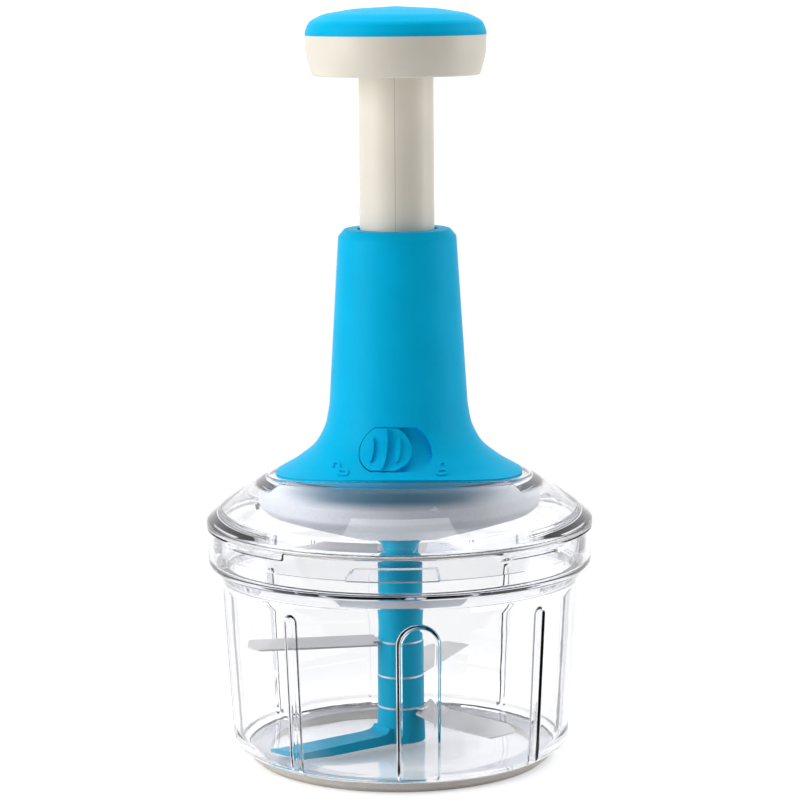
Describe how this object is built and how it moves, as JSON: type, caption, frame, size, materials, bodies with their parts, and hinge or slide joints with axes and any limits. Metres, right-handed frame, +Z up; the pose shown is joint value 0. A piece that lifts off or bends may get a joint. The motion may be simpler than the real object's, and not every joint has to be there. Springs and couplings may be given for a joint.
{
  "type": "plunger food chopper",
  "caption": "Hand food chopper: pressing a sprung palm knob turns a twisted bar that spins steel blades in a clear lidded bowl.",
  "frame": {"origin": "centre of the circle that the non-slip foot stands on, at z = 0", "axes": "+Z up along the plunger; -Y is the front, where the lock slider is; +X is to the right seen from the front"},
  "size_m": [0.1666, 0.1666, 0.3234],
  "materials": {
    "clear_plastic": "clear, polished, with faintly grey edges",
    "frosted_plastic": "translucent silver-grey with a fine grain",
    "blue_casing": "fine spark-eroded satin texture",
    "blue_stem": "smooth moulded",
    "cream_plastic": "fine satin texture",
    "white_acetal": "smooth, self-lubricating",
    "blade_steel": "stainless sheet, fine lengthwise grain, ground edge",
    "bright_steel": "bright drawn steel",
    "grey_core": "moulded, hidden in the stem",
    "silicone": "matt beige-grey silicone"
  },
  "bodies": {
    "bowl_group": {"bowl": "clear_plastic", "centre_pin": "bright_steel", "nonslip_ring": "silicone"},
    "seal_group": {"lid_seal": "silicone"},
    "lid_group": {"lid": "clear_plastic", "drum_base": "frosted_plastic", "housing_shell": "blue_casing", "base_screws": "bright_steel", "guide_bush": "white_acetal", "bearing_plate": "white_acetal", "lock_track": "blue_casing", "return_spring": "bright_steel"},
    "lock_group": {"lock_button": "blue_casing", "lock_tongue": "white_acetal"},
    "plunger_group": {"tube_left": "cream_plastic", "tube_right": "cream_plastic", "stop_ring": "white_acetal", "drive_nut": "white_acetal", "knob_base": "cream_plastic", "knob_cap": "blue_casing", "knob_screws": "bright_steel"},
    "drive_group": {"twisted_bar": "bright_steel", "drive_hub": "blue_stem", "thrust_washer": "bright_steel", "stem_core": "grey_core", "stem_column": "blue_stem", "spacer_upper": "blue_stem", "spacer_lower": "blue_stem", "stem_arm": "blue_stem", "blade_top": "blade_steel", "blade_mid": "blade_steel", "blade_low": "blade_steel"}
  },
  "joints": [
    {"name": "lid_lift", "type": "slide", "parent": "bowl_group", "child": "seal_group", "axis": [0, 0, 1], "range_m": [0, 0.11]},
    {"name": "lid_twist", "type": "hinge", "parent": "seal_group", "child": "lid_group", "pos_m": [0, 0, 0.1], "axis": [0, 0, 1], "range_deg": [0, 32]},
    {"name": "lock_slide", "type": "hinge", "parent": "lid_group", "child": "lock_group", "pos_m": [0, 0, 0.1413], "axis": [0, 0, 1], "range_deg": [0, 14]},
    {"name": "plunger_press", "type": "slide", "parent": "lid_group", "child": "plunger_group", "axis": [0, 0, -1], "range_m": [0, 0.063], "stiffness_N_per_m": 250, "springref_m": -0.03, "deforming": ["return_spring"]},
    {"name": "drive_spin", "type": "hinge", "parent": "lid_group", "child": "drive_group", "pos_m": [0, 0, 0.1], "axis": [0, 0, 1], "range_deg": [0, 901]}
  ],
  "couplings": [
    {"joint": "drive_spin", "follows": "plunger_press", "rad_per_m": 249.33}
  ]
}
